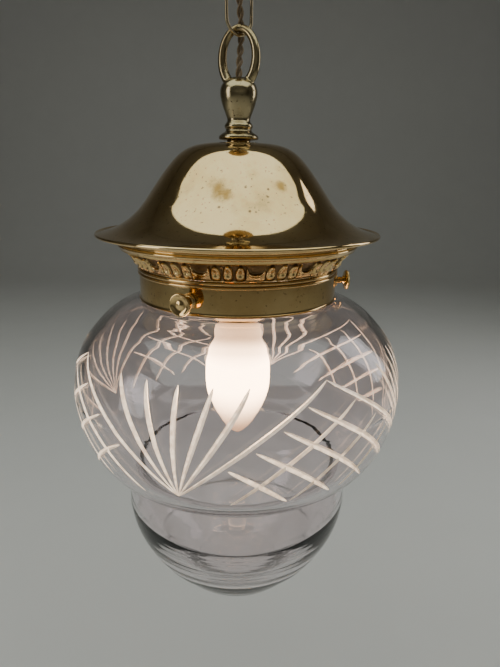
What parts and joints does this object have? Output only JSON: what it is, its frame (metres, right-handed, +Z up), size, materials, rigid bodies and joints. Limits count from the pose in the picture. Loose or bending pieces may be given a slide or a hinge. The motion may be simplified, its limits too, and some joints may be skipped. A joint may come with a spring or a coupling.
{
  "type": "pendant light",
  "caption": "Hanging lamp with a clear cut glass globe over a stepped bowl, held by thumb screws in a fluted brass gallery under a bell canopy on a chain.",
  "frame": {"origin": "middle of the ceiling plate's flat top, where the lamp meets the ceiling", "axes": "+Z up along the chain and the lamp's axis, -Y towards the picture's camera, +X to its right"},
  "size_m": [0.1774, 0.1774, 0.3825],
  "materials": {
    "polished_brass": "old polished brass with fine turning lines and tarnish spots",
    "dark_brass": "darkened brass, brighter where it rubs",
    "steel": "plain machined steel",
    "clear_glass": "thick clear glass with frosted mitre cuts",
    "bulb_glass": "frosted glass, lit warm white",
    "porcelain": "glazed white porcelain",
    "flex_cotton": "braided cotton over two twisted cores"
  },
  "bodies": {
    "suspension": {"ceiling_plate": "polished_brass", "ceiling_hook": "polished_brass", "flex": "flex_cotton"},
    "link_upper": {"chain_link_upper": "dark_brass"},
    "link_lower": {"chain_link_lower": "dark_brass"},
    "lamp": {"hanging_loop": "dark_brass", "canopy": "polished_brass", "canopy_washer": "steel", "canopy_nut": "steel", "threaded_tube": "steel", "bridge_nut_upper": "steel", "gallery_bridge": "polished_brass", "bridge_nut_lower": "steel", "gallery_rim": "polished_brass", "gallery_frieze": "polished_brass", "gallery_collar": "polished_brass", "screw_bush_1": "polished_brass", "screw_bush_2": "polished_brass", "screw_bush_3": "polished_brass", "lampholder_cap": "polished_brass", "lampholder_body": "polished_brass", "lampholder_ring": "polished_brass", "lampholder_insulator": "porcelain"},
    "thumb_screw_1": {"thumb_screw_1": "polished_brass"},
    "thumb_screw_2": {"thumb_screw_2": "polished_brass"},
    "thumb_screw_3": {"thumb_screw_3": "polished_brass"},
    "shade": {"glass_shade": "clear_glass"},
    "bulb": {"bulb_cap": "polished_brass", "bulb_glass": "bulb_glass", "bulb_stem": "clear_glass"}
  },
  "joints": [
    {"name": "upper_link_swing", "type": "hinge", "parent": "suspension", "child": "link_upper", "pos_m": [0, 0, -0.0276], "axis": [0.8191, 0.5736, 0], "range_deg": [-25, 25]},
    {"name": "lower_link_swing", "type": "hinge", "parent": "link_upper", "child": "link_lower", "pos_m": [0, 0, -0.0511], "axis": [0.5736, -0.8191, 0], "range_deg": [-25, 25]},
    {"name": "lamp_swing", "type": "hinge", "parent": "link_lower", "child": "lamp", "pos_m": [0, 0, -0.0756], "axis": [0.8191, 0.5736, 0], "range_deg": [-25, 25], "deforming": ["flex"]},
    {"name": "thumb_screw_1_unscrew", "type": "slide", "parent": "lamp", "child": "thumb_screw_1", "axis": [-0.4226, -0.9063, 0], "range_m": [0, 0.0045]},
    {"name": "thumb_screw_2_unscrew", "type": "slide", "parent": "lamp", "child": "thumb_screw_2", "axis": [0.9962, 0.0872, 0], "range_m": [0, 0.0045]},
    {"name": "thumb_screw_3_unscrew", "type": "slide", "parent": "lamp", "child": "thumb_screw_3", "axis": [-0.5736, 0.8191, 0], "range_m": [0, 0.0045]},
    {"name": "shade_lift_off", "type": "slide", "parent": "lamp", "child": "shade", "axis": [0, 0, -1], "range_m": [0, 0.11]},
    {"name": "bulb_turn", "type": "hinge", "parent": "lamp", "child": "bulb", "pos_m": [0, 0, -0.2], "axis": [0, 0, 1], "range_deg": [-20, 0]}
  ]
}
